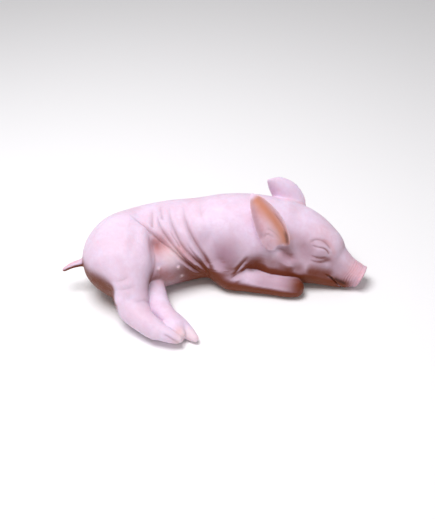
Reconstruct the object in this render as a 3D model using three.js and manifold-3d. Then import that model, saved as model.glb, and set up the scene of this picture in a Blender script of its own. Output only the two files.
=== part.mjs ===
// A whole raw suckling pig, dressed for roasting, as it lies on a table: chest and chin down on folded
// forelegs, hindquarters rolled onto the left hip, both hind legs out to the right side, eyes shut.
// Millimetres, +Z up, head towards +X, the pig's right side towards -Y.
import * as THREE from "three";
import { mergeVertices } from "three/addons/utils/BufferGeometryUtils.js";
import Module from "manifold-3d";

const wasm = await Module();
wasm.setup();

// ---- driving dimensions ----

const SKIN_COLOR = 0xecd6e0;
const WORLD_UP = [0, 0, 1];
const SIDEWAYS = [0, 1, 0];
const RING_SIDES = { trunk: 36, head: 28, limb: 18, ham: 24, claw: 8, ear: 18, tail: 8 };
const RINGS = { trunk: 32, head: 22, limb: 20, ham: 16, claw: 6, ear: 13, tail: 10 };

const CLAW = { length: 40, wide: 10, tall: 11, gap: 7, splay: 1.5 };
const DEWCLAW = { length: 12, wide: 4, tall: 4.5, spread: 9, drop: 9, dip: 4 };
const EAR = { wide: 29, thick: 3.2, cup: 1.12, profile: [0.7, 1, 1.06, 0.96, 0.66, 0.16] };
const EYE = { along: 99, around: 64, long: 16, broad: 10, proud: 3.5, sides: 14, rings: 7 };
const NOSTRIL = { across: 7.5, rise: 2, broad: 3.6, tall: 5.2, deep: 6, sides: 12, rings: 8 };
const CLAW_PROFILE = [1, 1, 0.76, 0.3];
const HAM_FULLNESS = 3.8;
const TABLE = { size: 1200, thickness: 120 };
const WELD = 1e-4;

// ---- lofted body parts ----
// A station is a ring across a part: `at` is its centre, `wide` and `tall` are its half-sizes across and
// along the part's up direction, and `roll` turns it, in degrees, tipping its up direction towards +Y.

const trunk = {
  up: WORLD_UP,
  ends: [58, 30],
  stations: [
    { at: [-227, -36, 56], wide: 46, tall: 52, roll: 40 },
    { at: [-198, -37, 62], wide: 58, tall: 63, roll: 40 },
    { at: [-162, -31, 65], wide: 62, tall: 71, roll: 39 },
    { at: [-120, -9, 66], wide: 57, tall: 72.5, roll: 37 },
    { at: [-75, 9, 65], wide: 54, tall: 72, roll: 33 },
    { at: [-30, 17, 67], wide: 56, tall: 70, roll: 26 },
    { at: [15, 20, 70], wide: 61, tall: 73, roll: 18 },
    { at: [60, 22, 70], wide: 60, tall: 72, roll: 12 },
    { at: [100, 22, 66], wide: 56, tall: 67, roll: 8 },
    { at: [135, 18, 60], wide: 42, tall: 50, roll: 6 },
  ],
};

const head = {
  up: WORLD_UP,
  ends: [30, 4],
  stations: [
    { at: [84, 34, 74], wide: 40, tall: 48, roll: 8 },
    { at: [120, 25, 66], wide: 51, tall: 60, roll: 10 },
    { at: [152, 11, 57], wide: 49, tall: 58.5, roll: 12 },
    { at: [179, -3, 48], wide: 40, tall: 48.5, roll: 12 },
    { at: [200, -14, 37], wide: 30, tall: 35, roll: 10 },
    { at: [217, -21, 31], wide: 24, tall: 26, roll: 8 },
    { at: [233, -27, 27], wide: 20, tall: 18.5, roll: 6 },
    { at: [248, -33, 20.5], wide: 21, tall: 18, roll: 6 },
  ],
};

const jaw = {
  up: WORLD_UP,
  ends: [24, 12],
  stations: [
    { at: [66, 6, 38], wide: 48, tall: 36, roll: 6 },
    { at: [100, 4, 38], wide: 50, tall: 38, roll: 6 },
    { at: [132, -2, 35], wide: 47, tall: 37, roll: 8 },
    { at: [166, -12, 29], wide: 39, tall: 31, roll: 10 },
    { at: [194, -23, 20], wide: 26, tall: 21, roll: 10 },
    { at: [218, -32, 16], wide: 16, tall: 15, roll: 8 },
    { at: [236, -35, 16], wide: 11, tall: 8, roll: 6 },
  ],
};

// The slit between the jaws, open from cheek to cheek and running down under the snout.
const mouth = {
  up: WORLD_UP,
  ends: [6, 6],
  stations: [
    { at: [193, -4, 36], wide: 44, tall: 1.6, roll: 12 },
    { at: [206, -13, 25], wide: 40, tall: 1.6, roll: 11 },
    { at: [217, -20, 12], wide: 34, tall: 1.6, roll: 9 },
    { at: [225, -25, -2], wide: 34, tall: 1.6, roll: 8 },
  ],
};

const hindLegRight = {
  up: WORLD_UP,
  ends: [34, 12],
  stations: [
    { at: [-182, -24, 78], wide: 42, tall: 42, roll: 0 },
    { at: [-164, -60, 76], wide: 42, tall: 46, roll: 0 },
    { at: [-149, -90, 60], wide: 34, tall: 36, roll: 0 },
    { at: [-142, -111, 44], wide: 28, tall: 28, roll: 0 },
    { at: [-137, -126, 34], wide: 26, tall: 24, roll: 0 },
    { at: [-121, -146, 28], wide: 20, tall: 19, roll: 0 },
    { at: [-104, -160, 24], wide: 17, tall: 18, roll: 0 },
    { at: [-88, -168, 20], wide: 15, tall: 15, roll: 0 },
  ],
  foot: { fetlock: [-104, -160, 23], toes: [-57, -176, 11], up: [0.35, 0.6, 0.7], stagger: 0, scale: 1.15 },
};

const hindLegLeft = {
  up: WORLD_UP,
  ends: [30, 12],
  stations: [
    { at: [-170, 0, 42], wide: 40, tall: 38, roll: 0 },
    { at: [-142, -36, 34], wide: 34, tall: 30, roll: 0 },
    { at: [-115, -74, 26], wide: 26, tall: 24, roll: 0 },
    { at: [-104, -98, 22], wide: 22, tall: 20, roll: 0 },
    { at: [-88, -123, 19], wide: 17, tall: 17, roll: 0 },
    { at: [-68, -147, 17], wide: 15, tall: 15, roll: 0 },
    { at: [-58, -159, 16], wide: 14, tall: 14, roll: 0 },
  ],
  foot: { fetlock: [-70, -146, 16], toes: [-44, -173, 14], up: [0.4, 0.3, 0.85], stagger: 8, scale: 1.3 },
};

const foreLegRight = {
  up: SIDEWAYS,
  ends: [24, 14],
  stations: [
    { at: [30, 0, 80], wide: 34, tall: 30, roll: 0 },
    { at: [18, -22, 50], wide: 30, tall: 27, roll: 0 },
    { at: [18, -36, 28], wide: 26, tall: 22, roll: 0 },
    { at: [48, -42, 22], wide: 21, tall: 20, roll: 0 },
    { at: [88, -50, 18], wide: 18, tall: 17, roll: 0 },
    { at: [126, -57, 17], wide: 17, tall: 16, roll: 0 },
    { at: [145, -55, 17], wide: 15, tall: 14, roll: 0 },
  ],
  foot: { fetlock: [124, -38, 13], toes: [86, -16, 9], up: [0, 0, -1], stagger: 0, scale: 1 },
};

const foreLegLeft = {
  up: SIDEWAYS,
  ends: [24, 14],
  stations: [
    { at: [28, 58, 72], wide: 34, tall: 28, roll: 0 },
    { at: [22, 72, 46], wide: 28, tall: 24, roll: 0 },
    { at: [24, 80, 25], wide: 23, tall: 20, roll: 0 },
    { at: [50, 82, 20], wide: 20, tall: 17, roll: 0 },
    { at: [88, 80, 17], wide: 17, tall: 15, roll: 0 },
    { at: [112, 74, 17], wide: 17, tall: 15, roll: 0 },
    { at: [122, 64, 16], wide: 15, tall: 14, roll: 0 },
  ],
  foot: { fetlock: [104, 52, 13], toes: [66, 36, 9], up: [0, 0, -1], stagger: 0, scale: 1 },
};

const tail = {
  up: WORLD_UP,
  ends: [4, 5],
  stations: [
    { at: [-206, -34, 60], wide: 8.5, tall: 8.5, roll: 0 },
    { at: [-230, -38, 57], wide: 6.5, tall: 6.5, roll: 0 },
    { at: [-247, -41, 53], wide: 5, tall: 5, roll: 0 },
    { at: [-264, -44, 44], wide: 3, tall: 3, roll: 0 },
  ],
};

// The full front of the right ham, which stands off the belly.
const ham = {
  up: [0, -0.65, 0.76],
  ends: [22, 36],
  stations: [
    { at: [-150, -6, 121], wide: 30, tall: 22, roll: 0 },
    { at: [-151, -34, 101], wide: 39, tall: 33, roll: 0 },
    { at: [-152, -60, 82], wide: 42, tall: 35, roll: 0 },
    { at: [-150, -82, 64], wide: 37, tall: 29, roll: 0 },
    { at: [-147, -97, 53], wide: 31, tall: 22, roll: 0 },
  ],
};

// An ear runs from its root to its tip and is cupped about that line; `open` is the way its hollow faces.
const earRight = { root: [101, -27, 83], middle: [87, -30, 134], tip: [53, 7, 167], open: [-0.1, -0.8, 0.5] };
const earLeft = { root: [134, 46, 90], middle: [122, 62, 130], tip: [83, 65, 155], open: [0.2, 0.9, -0.3] };

// ---- building blocks ----

const vector = (p) => new THREE.Vector3(...p);

// Station values at any distance along a part, by a smooth cubic through the stations.
function stationCurve(stations) {
  const distances = [0];
  for (let i = 1; i < stations.length; i++) {
    distances.push(distances[i - 1] + vector(stations[i].at).distanceTo(vector(stations[i - 1].at)));
  }
  const values = stations.flatMap((s) => [...s.at, s.wide, s.tall, THREE.MathUtils.degToRad(s.roll)]);
  const cubic = new THREE.CubicInterpolant(distances, values, 6);
  const length = distances.at(-1);
  const valueAt = (d) => {
    const [x, y, z, wide, tall, roll] = cubic.evaluate(THREE.MathUtils.clamp(d, 0, length));
    return { at: new THREE.Vector3(x, y, z), wide, tall, roll };
  };
  return { length, valueAt };
}

// The directions across and up a part at one distance: `up` is kept as near to the part's own as it can be.
function crossAxes(curve, d, up) {
  const step = 0.5;
  const ahead = curve.valueAt(Math.min(d + step, curve.length)).at;
  const behind = curve.valueAt(Math.max(d - step, 0)).at;
  const along = ahead.sub(behind).normalize();
  const upright = vector(up).projectOnPlane(along).normalize();
  const side = new THREE.Vector3().crossVectors(along, upright);
  const { roll } = curve.valueAt(d);
  upright.applyAxisAngle(along, -roll);
  side.applyAxisAngle(along, -roll);
  return { along, upright, side };
}

// Ring number j of n: its distance along the part, and how far its rounded end has drawn it in.
function ringPlace(j, n, length, [startCap, endCap]) {
  const capRings = Math.max(3, Math.round(n / 5));
  const quarter = Math.PI / 2;
  if (j <= capRings) {
    const angle = (quarter * j) / capRings;
    return { d: startCap * (1 - Math.cos(angle)), shrink: Math.sin(angle) };
  }
  if (j >= n - capRings) {
    const angle = (quarter * (n - j)) / capRings;
    return { d: length - endCap * (1 - Math.cos(angle)), shrink: Math.sin(angle) };
  }
  const share = (j - capRings) / (n - 2 * capRings);
  return { d: THREE.MathUtils.lerp(startCap, length - endCap, share), shrink: 1 };
}

// A ball whose rings of vertices are moved onto a part's stations; `section` places one point of a ring.
function loftGeometry(part, sides, rings, section = ovalSection) {
  const geometry = new THREE.SphereGeometry(1, sides, rings);
  const position = geometry.getAttribute("position");
  const curve = stationCurve(part.stations);
  for (let j = 0; j <= rings; j++) {
    const { d, shrink } = ringPlace(j, rings, curve.length, part.ends);
    const ring = curve.valueAt(d);
    const axes = crossAxes(curve, d, part.up);
    for (let i = 0; i <= sides; i++) {
      const [across, rise] = section((2 * Math.PI * (i % sides)) / sides, ring, shrink);
      const point = ring.at.clone().addScaledVector(axes.side, across).addScaledVector(axes.upright, rise);
      position.setXYZ(j * (sides + 1) + i, point.x, point.y, point.z);
    }
  }
  return geometry;
}

function ovalSection(angle, ring, shrink) {
  return [ring.wide * shrink * Math.cos(angle), ring.tall * shrink * Math.sin(angle)];
}

// An oval with fuller shoulders.
function squarishSection(angle, ring, shrink) {
  const [across, rise] = [Math.cos(angle), Math.sin(angle)];
  const size = Math.abs(across) ** HAM_FULLNESS + Math.abs(rise) ** HAM_FULLNESS;
  const full = shrink * size ** (-1 / HAM_FULLNESS);
  return [ring.wide * across * full, ring.tall * rise * full];
}

// A thin leaf bent round its own length, for an ear.
function cuppedSection(angle, ring, shrink) {
  const wide = ring.wide * shrink;
  const bend = EAR.cup * Math.cos(angle);
  const radius = wide / EAR.cup;
  const skin = ring.tall * Math.min(1, shrink * 2) * Math.sin(angle);
  return [(radius - skin) * Math.sin(bend), radius * (1 - Math.cos(bend)) + skin * Math.cos(bend)];
}

function ear({ root, middle, tip, open }) {
  const curve = new THREE.QuadraticBezierCurve3(vector(root), vector(middle), vector(tip));
  const stations = EAR.profile.map((share, i) => ({
    at: curve.getPoint(i / (EAR.profile.length - 1)).toArray(),
    wide: EAR.wide * share,
    tall: EAR.thick,
    roll: 0,
  }));
  return loftGeometry({ stations, up: open, ends: [8, 16] }, RING_SIDES.ear, RINGS.ear, cuppedSection);
}

// One horn-tipped toe, drawn in to a blunt point.
function claw(from, to, up, { wide, tall }) {
  const stations = CLAW_PROFILE.map((share, i) => ({
    at: from.clone().lerp(to, i / (CLAW_PROFILE.length - 1)).toArray(),
    wide: wide * share,
    tall: tall * share,
    roll: 0,
  }));
  return loftGeometry({ stations, up: up.toArray(), ends: [5, 4] }, RING_SIDES.claw, RINGS.claw);
}

// Two main claws side by side, one `stagger` ahead of the other's line, and two dewclaws behind them.
function foot({ fetlock, toes, up, stagger, scale }) {
  const start = vector(fetlock);
  const along = vector(toes).sub(start).normalize();
  const upright = vector(up).projectOnPlane(along).normalize();
  const side = new THREE.Vector3().crossVectors(along, upright);
  const size = { wide: CLAW.wide * scale, tall: CLAW.tall * scale };
  const pieces = [];
  for (const hand of [-1, 1]) {
    const root = vector(toes).addScaledVector(along, -CLAW.length * scale);
    root.addScaledVector(side, hand * CLAW.gap);
    const tip = vector(toes).addScaledVector(along, -hand * stagger);
    tip.addScaledVector(side, hand * (CLAW.gap + CLAW.splay));
    pieces.push(claw(root, tip, upright, size));
    const spur = start.clone().addScaledVector(side, hand * DEWCLAW.spread);
    spur.addScaledVector(upright, -DEWCLAW.drop);
    const spurTip = spur.clone().addScaledVector(along, DEWCLAW.length);
    spurTip.addScaledVector(upright, -DEWCLAW.dip);
    pieces.push(claw(spur, spurTip, upright, DEWCLAW));
  }
  return pieces;
}

// A ball stretched to three half-sizes along three directions.
function mound(at, directions, halfSizes, sides, rings) {
  const [a, b, c] = directions.map((direction, i) => direction.clone().multiplyScalar(halfSizes[i]));
  const place = new THREE.Matrix4().makeBasis(a, b, c).setPosition(at);
  return new THREE.SphereGeometry(1, sides, rings).applyMatrix4(place);
}

// The shut lids bulge a little from each side of the head.
function eyelids(hand) {
  const curve = stationCurve(head.stations);
  const ring = curve.valueAt(EYE.along);
  const { along, upright, side } = crossAxes(curve, EYE.along, head.up);
  const angle = THREE.MathUtils.degToRad(EYE.around);
  const [across, rise] = [Math.sin(angle) * hand, Math.cos(angle)];
  const at = ring.at.addScaledVector(side, across * ring.wide).addScaledVector(upright, rise * ring.tall);
  const outward = side.clone().multiplyScalar(across / ring.wide).addScaledVector(upright, rise / ring.tall);
  outward.normalize();
  const lengthwise = along.clone().projectOnPlane(outward).normalize();
  const crosswise = new THREE.Vector3().crossVectors(outward, lengthwise);
  const halfSizes = [EYE.long, EYE.broad, EYE.proud];
  return mound(at, [lengthwise, crosswise, outward], halfSizes, EYE.sides, EYE.rings);
}

function nostril(hand) {
  const curve = stationCurve(head.stations);
  const { along, upright, side } = crossAxes(curve, curve.length, head.up);
  const at = curve.valueAt(curve.length).at.addScaledVector(side, hand * NOSTRIL.across);
  at.addScaledVector(upright, NOSTRIL.rise);
  const halfSizes = [NOSTRIL.broad, NOSTRIL.tall, NOSTRIL.deep];
  return mound(at, [side, upright, along.negate()], halfSizes, NOSTRIL.sides, NOSTRIL.rings);
}

// ---- booleans ----

function toSolid(geometry) {
  geometry.deleteAttribute("normal");
  geometry.deleteAttribute("uv");
  const merged = mergeVertices(geometry, WELD);
  return new wasm.Manifold(
    new wasm.Mesh({
      numProp: 3,
      vertProperties: merged.getAttribute("position").array,
      triVerts: new Uint32Array(merged.index.array),
    }),
  );
}

function toGeometry(solid) {
  const mesh = solid.getMesh();
  const geometry = new THREE.BufferGeometry();
  geometry.setAttribute("position", new THREE.BufferAttribute(mesh.vertProperties, 3));
  geometry.setIndex(new THREE.BufferAttribute(mesh.triVerts, 1));
  geometry.computeVertexNormals();
  return geometry;
}

// Flesh presses flat where it meets the table, so everything below the table's top is cut away.
function tableGeometry() {
  const { size, thickness } = TABLE;
  return new THREE.BoxGeometry(size, size, thickness).translate(0, 0, -thickness / 2);
}

// ---- the pig ----

const legs = [hindLegRight, hindLegLeft, foreLegRight, foreLegLeft];
const shapes = [
  loftGeometry(trunk, RING_SIDES.trunk, RINGS.trunk),
  loftGeometry(head, RING_SIDES.head, RINGS.head),
  loftGeometry(jaw, RING_SIDES.limb, RINGS.limb),
  ...legs.map((leg) => loftGeometry(leg, RING_SIDES.limb, RINGS.limb)),
  loftGeometry(ham, RING_SIDES.ham, RINGS.ham, squarishSection),
  ...legs.flatMap((leg) => foot(leg.foot)),
  ear(earRight),
  ear(earLeft),
  eyelids(1),
  eyelids(-1),
  loftGeometry(tail, RING_SIDES.tail, RINGS.tail),
];

const hollows = [loftGeometry(mouth, RING_SIDES.limb, RINGS.claw), nostril(1), nostril(-1), tableGeometry()];

const joined = shapes.map(toSolid).reduce((sum, next) => sum.add(next));
const whole = hollows.map(toSolid).reduce((rest, hollow) => rest.subtract(hollow), joined);
const resting = toGeometry(whole);

// The origin is the middle of the footprint, on the table.
resting.computeBoundingBox();
const centre = resting.boundingBox.getCenter(new THREE.Vector3());
resting.translate(-centre.x, -centre.y, 0);

const skin = new THREE.MeshStandardMaterial({ color: SKIN_COLOR, roughness: 0.5, metalness: 0 });
const pig = new THREE.Mesh(resting, skin);
pig.name = "pig";

const model = new THREE.Group();
model.add(pig);

export default model;
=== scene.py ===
import math

import bpy
import numpy as np
import openvdb as vdb
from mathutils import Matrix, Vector
from mathutils.kdtree import KDTree


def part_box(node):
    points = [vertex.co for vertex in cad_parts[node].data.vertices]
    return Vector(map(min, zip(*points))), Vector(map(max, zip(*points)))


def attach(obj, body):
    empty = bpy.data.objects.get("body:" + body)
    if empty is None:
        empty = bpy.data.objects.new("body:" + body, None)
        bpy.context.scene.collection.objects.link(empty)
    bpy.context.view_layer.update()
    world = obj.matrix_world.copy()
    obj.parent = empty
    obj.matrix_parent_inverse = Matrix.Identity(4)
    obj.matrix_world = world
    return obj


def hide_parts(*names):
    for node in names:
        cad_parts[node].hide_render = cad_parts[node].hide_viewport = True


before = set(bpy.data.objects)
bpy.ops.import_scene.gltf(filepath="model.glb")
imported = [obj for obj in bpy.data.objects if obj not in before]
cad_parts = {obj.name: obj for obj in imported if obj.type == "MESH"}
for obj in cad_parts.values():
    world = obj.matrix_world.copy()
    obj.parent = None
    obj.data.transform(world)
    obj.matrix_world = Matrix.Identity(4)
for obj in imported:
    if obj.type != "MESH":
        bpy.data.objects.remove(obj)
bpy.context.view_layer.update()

# ---- resolution ----
VOXEL = 1.35
BAND = 27.0  # the widest distance kept on the grid, in millimetres
TRIANGLE_LIMIT = 190_000
MM = 0.001

WORLD_UP = (0, 0, 1)
SIDEWAYS = (0, 1, 0)
NEAR, FAR = 1, -1  # the pig's right side, towards -Y, and its left side

# ---- body stations: (x, y, z, half width, half height, roll in degrees) ----
TRUNK = dict(
    up=WORLD_UP,
    ends=(58, 30),
    stations=[
        (-227, -36, 56, 46, 52, 40),
        (-198, -37, 62, 58, 63, 40),
        (-162, -31, 65, 62, 71, 39),
        (-120, -9, 66, 57, 72.5, 37),
        (-75, 9, 65, 54, 72, 33),
        (-30, 17, 67, 56, 70, 26),
        (15, 20, 70, 61, 73, 18),
        (60, 22, 70, 60, 72, 12),
        (100, 22, 66, 56, 67, 8),
        (135, 18, 60, 42, 50, 6),
    ],
)
HEAD = dict(
    up=WORLD_UP,
    ends=(30, 4),
    stations=[
        (84, 34, 74, 40, 48, 8),
        (120, 25, 66, 51, 60, 10),
        (152, 11, 57, 49, 58.5, 12),
        (179, -3, 48, 40, 48.5, 12),
        (200, -14, 37, 30, 35, 10),
        (217, -21, 31, 24, 26, 8),
        (233, -27, 27, 20, 18.5, 6),
        (248, -33, 20.5, 21, 18, 6),
    ],
)
JAW = dict(
    up=WORLD_UP,
    ends=(24, 12),
    stations=[
        (66, 6, 38, 48, 36, 6),
        (100, 4, 38, 50, 38, 6),
        (132, -2, 35, 47, 37, 8),
        (166, -12, 29, 39, 31, 10),
        (194, -23, 20, 26, 21, 10),
        (218, -32, 16, 16, 15, 8),
        (236, -35, 16, 11, 8, 6),
    ],
)
MOUTH = dict(
    up=WORLD_UP,
    ends=(6, 6),
    stations=[
        (193, -4, 36, 44, 1.6, 12),
        (206, -13, 25, 40, 1.6, 11),
        (217, -20, 12, 34, 1.6, 9),
        (225, -25, -2, 34, 1.6, 8),
    ],
)
HIND_RIGHT = dict(
    up=WORLD_UP,
    ends=(34, 12),
    stations=[
        (-182, -24, 78, 42, 42, 0),
        (-164, -60, 76, 42, 46, 0),
        (-149, -90, 60, 34, 36, 0),
        (-142, -111, 44, 28, 28, 0),
        (-137, -126, 34, 26, 24, 0),
        (-121, -146, 28, 20, 19, 0),
        (-104, -160, 24, 17, 18, 0),
        (-88, -168, 20, 15, 15, 0),
    ],
    foot=dict(fetlock=(-104, -160, 23), toes=(-57, -176, 11), up=(0.35, 0.6, 0.7), stagger=0, scale=1.15),
)
HIND_LEFT = dict(
    up=WORLD_UP,
    ends=(30, 12),
    stations=[
        (-170, 0, 42, 40, 38, 0),
        (-142, -36, 34, 34, 30, 0),
        (-115, -74, 26, 26, 24, 0),
        (-104, -98, 22, 22, 20, 0),
        (-88, -123, 19, 17, 17, 0),
        (-68, -147, 17, 15, 15, 0),
        (-58, -159, 16, 14, 14, 0),
    ],
    foot=dict(fetlock=(-70, -146, 16), toes=(-44, -173, 14), up=(0.4, 0.3, 0.85), stagger=8, scale=1.3),
)
FORE_RIGHT = dict(
    up=SIDEWAYS,
    ends=(24, 14),
    stations=[
        (30, 0, 80, 34, 30, 0),
        (18, -22, 50, 30, 27, 0),
        (18, -36, 28, 26, 22, 0),
        (48, -42, 22, 21, 20, 0),
        (88, -50, 18, 18, 17, 0),
        (126, -57, 17, 17, 16, 0),
        (145, -55, 17, 15, 14, 0),
    ],
    foot=dict(fetlock=(124, -38, 13), toes=(86, -16, 9), up=(0, 0, -1), stagger=0, scale=1),
)
FORE_LEFT = dict(
    up=SIDEWAYS,
    ends=(24, 14),
    stations=[
        (28, 58, 72, 34, 28, 0),
        (22, 72, 46, 28, 24, 0),
        (24, 80, 25, 23, 20, 0),
        (50, 82, 20, 20, 17, 0),
        (88, 80, 17, 17, 15, 0),
        (112, 74, 17, 17, 15, 0),
        (122, 64, 16, 15, 14, 0),
    ],
    foot=dict(fetlock=(104, 52, 13), toes=(66, 36, 9), up=(0, 0, -1), stagger=0, scale=1),
)
TAIL = dict(
    up=WORLD_UP,
    ends=(4, 5),
    stations=[
        (-206, -34, 60, 8.5, 8.5, 0),
        (-230, -38, 57, 6.5, 6.5, 0),
        (-247, -41, 53, 5, 5, 0),
        (-264, -44, 44, 3, 3, 0),
    ],
)
HAM = dict(
    up=(0, -0.65, 0.76),
    ends=(22, 36),
    stations=[
        (-150, -6, 121, 30, 22, 0),
        (-151, -34, 101, 39, 33, 0),
        (-152, -60, 82, 42, 35, 0),
        (-150, -82, 64, 37, 29, 0),
        (-147, -97, 53, 31, 22, 0),
    ],
)
EAR_RIGHT = dict(root=(101, -27, 83), middle=(87, -30, 134), tip=(53, 7, 167), open=(-0.1, -0.8, 0.5))
EAR_LEFT = dict(root=(134, 46, 90), middle=(122, 62, 130), tip=(83, 65, 155), open=(0.2, 0.9, -0.3))

CLAW = dict(length=40, wide=10, tall=11, gap=7, splay=1.5)
DEWCLAW = dict(length=12, wide=4, tall=4.5, spread=9, drop=9, dip=4)
CLAW_PROFILE = (1, 1.0, 0.76, 0.3)
CLAW_ENDS = (5, 4)
EAR = dict(wide=29, thick=2.0, cup=1.12, ends=(8, 16), profile=(0.7, 1.0, 1.06, 0.96, 0.66, 0.16))
HAM_FULLNESS = 3.8  # 2 is an oval, more is squarer
NOSTRIL = dict(out=7.5, above=2, sizes=(7, 5.2, 3.6))


# ---- lofts ----
def unit(v):
    v = np.asarray(v, float)
    return v / np.linalg.norm(v)


def turned(v, axis, angle):
    """v turned about a unit axis."""
    c, s = math.cos(angle), math.sin(angle)
    return v * c + np.cross(axis, v) * s + axis * np.dot(axis, v) * (1 - c)


class Spine:
    """Smooth values along a part's stations: centre, half width, half height and roll."""

    NUDGE = 0.5  # millimetres to each side, to find the direction along

    def __init__(self, part):
        self.up = np.asarray(part["up"], float)
        self.values = np.array(part["stations"], float)
        self.values[:, 5] = np.radians(self.values[:, 5])
        steps = np.linalg.norm(np.diff(self.values[:, :3], axis=0), axis=1)
        self.at = np.concatenate([[0], np.cumsum(steps)])
        self.length = self.at[-1]
        slopes = np.diff(self.values, axis=0) / steps[:, None]
        self.slopes = np.concatenate([slopes[:1], (slopes[:-1] + slopes[1:]) / 2, slopes[-1:]])

    def value(self, d):
        d = min(max(d, 0), self.length)
        i = min(np.searchsorted(self.at, d, side="right") - 1, len(self.at) - 2)
        step = self.at[i + 1] - self.at[i]
        t = (d - self.at[i]) / step
        y0, y1 = self.values[i], self.values[i + 1]
        m0, m1 = self.slopes[i] * step, self.slopes[i + 1] * step
        return (
            (2 * t**3 - 3 * t**2 + 1) * y0
            + (t**3 - 2 * t**2 + t) * m0
            + (3 * t**2 - 2 * t**3) * y1
            + (t**3 - t**2) * m1
        )

    def axes(self, d):
        """Unit directions along, up and across the part."""
        ahead = self.value(min(d + self.NUDGE, self.length))[:3]
        behind = self.value(max(d - self.NUDGE, 0))[:3]
        along = unit(ahead - behind)
        upright = unit(self.up - along * np.dot(self.up, along))
        side = np.cross(along, upright)
        roll = -self.value(d)[5]
        return along, turned(upright, along, roll), turned(side, along, roll)

    def skin(self, d, around, hand=NEAR):
        """A point on the part's surface: `around` is in degrees from its up direction."""
        value = self.value(d)
        _, upright, side = self.axes(d)
        angle = math.radians(around)
        return value[:3] + side * hand * math.sin(angle) * value[3] + upright * math.cos(angle) * value[4]


def oval(angles, wide, tall, shrink):
    return wide * shrink * np.cos(angles), tall * shrink * np.sin(angles)


def squarish(angles, wide, tall, shrink):
    """An oval with fuller shoulders."""
    across, rise = np.cos(angles), np.sin(angles)
    full = (np.abs(across) ** HAM_FULLNESS + np.abs(rise) ** HAM_FULLNESS) ** (-1 / HAM_FULLNESS)
    return wide * shrink * across * full, tall * shrink * rise * full


def cupped(angles, wide, tall, shrink):
    """A thin leaf bent about its length; its rims are thinner than its middle."""
    wide = wide * shrink
    bend = EAR["cup"] * np.cos(angles)
    radius = wide / EAR["cup"]
    skin = tall * min(1, shrink * 2) * np.sin(angles)
    return (radius - skin) * np.sin(bend), radius * (1 - np.cos(bend)) + skin * np.cos(bend)


def tube_triangles(count, sides):
    """Triangles for `count` rings of `sides` points, closed by two end points that follow them."""
    j, i = np.meshgrid(np.arange(count - 1), np.arange(sides), indexing="ij")
    a, b = j * sides + i, j * sides + (i + 1) % sides
    c, d = a + sides, b + sides
    i = np.arange(sides)
    first, last, base = count * sides, count * sides + 1, (count - 1) * sides
    return np.concatenate([
        np.stack([a, c, b], -1).reshape(-1, 3),
        np.stack([b, c, d], -1).reshape(-1, 3),
        np.stack([np.full(sides, first), i, (i + 1) % sides], -1),
        np.stack([np.full(sides, last), base + (i + 1) % sides, base + i], -1),
    ])


def loft(part, sides=72, rings=90, section=oval):
    """Vertices and triangles of a closed loft through the stations, with rounded ends."""
    spine = Spine(part)
    start_cap, end_cap = part["ends"]
    cap_rings = max(4, rings // 6)
    places = []
    for j in range(rings + 1):
        if j <= cap_rings:
            a = math.pi / 2 * j / cap_rings
            places.append((start_cap * (1 - math.cos(a)), math.sin(a)))
        elif j >= rings - cap_rings:
            a = math.pi / 2 * (rings - j) / cap_rings
            places.append((spine.length - end_cap * (1 - math.cos(a)), math.sin(a)))
        else:
            share = (j - cap_rings) / (rings - 2 * cap_rings)
            places.append((start_cap + share * (spine.length - end_cap - start_cap), 1))
    angles = np.linspace(0, 2 * np.pi, sides, endpoint=False)
    rows = []
    for d, shrink in places[1:-1]:
        value = spine.value(d)
        _, upright, side = spine.axes(d)
        across, rise = section(angles, value[3], value[4], shrink)
        rows.append(value[:3] + across[:, None] * side + rise[:, None] * upright)
    ends = [spine.value(places[0][0])[:3], spine.value(places[-1][0])[:3]]
    return np.concatenate([*rows, ends]), tube_triangles(len(rows), sides)


def ear(place):
    """The part for one ear: a leaf along a curve from root to tip."""
    root, middle, tip = (np.array(place[k], float) for k in ("root", "middle", "tip"))
    stations = []
    for i, share in enumerate(EAR["profile"]):
        t = i / (len(EAR["profile"]) - 1)
        at = root * (1 - t) ** 2 + middle * 2 * t * (1 - t) + tip * t**2
        stations.append((*at, EAR["wide"] * share, EAR["thick"], 0))
    return dict(up=place["open"], ends=EAR["ends"], stations=stations)


def claw(start, end, upright, size):
    stations = []
    for i, share in enumerate(CLAW_PROFILE):
        at = start + (end - start) * i / (len(CLAW_PROFILE) - 1)
        stations.append((*at, size["wide"] * share, size["tall"] * share, 0))
    return dict(up=upright, ends=CLAW_ENDS, stations=stations)


def foot(place):
    """The parts for a cloven foot: its two claws and its two dewclaws."""
    start, toes = np.array(place["fetlock"], float), np.array(place["toes"], float)
    along = unit(toes - start)
    up = np.array(place["up"], float)
    upright = unit(up - along * np.dot(up, along))
    side = np.cross(along, upright)
    claws, spurs = [], []
    size = dict(wide=CLAW["wide"] * place["scale"], tall=CLAW["tall"] * place["scale"])
    for hand in (-1, 1):
        ahead = along * -hand * place["stagger"]
        root = toes - along * CLAW["length"] * place["scale"] + side * hand * CLAW["gap"]
        tip = toes + ahead + side * hand * (CLAW["gap"] + CLAW["splay"])
        claws.append(claw(root, tip, upright, size))
        spur = start + side * hand * DEWCLAW["spread"] - upright * DEWCLAW["drop"]
        end = spur + along * DEWCLAW["length"] - upright * DEWCLAW["dip"]
        spurs.append(claw(spur, end, upright, DEWCLAW))
    return claws, spurs


def nostril(hand):
    """The centre of a nostril in the snout's disc, and the directions along, up and across there."""
    spine = Spine(HEAD)
    along, upright, side = spine.axes(spine.length)
    centre = spine.value(spine.length)[:3] + side * hand * NOSTRIL["out"] + upright * NOSTRIL["above"]
    return centre, (along, upright, side)


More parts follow.
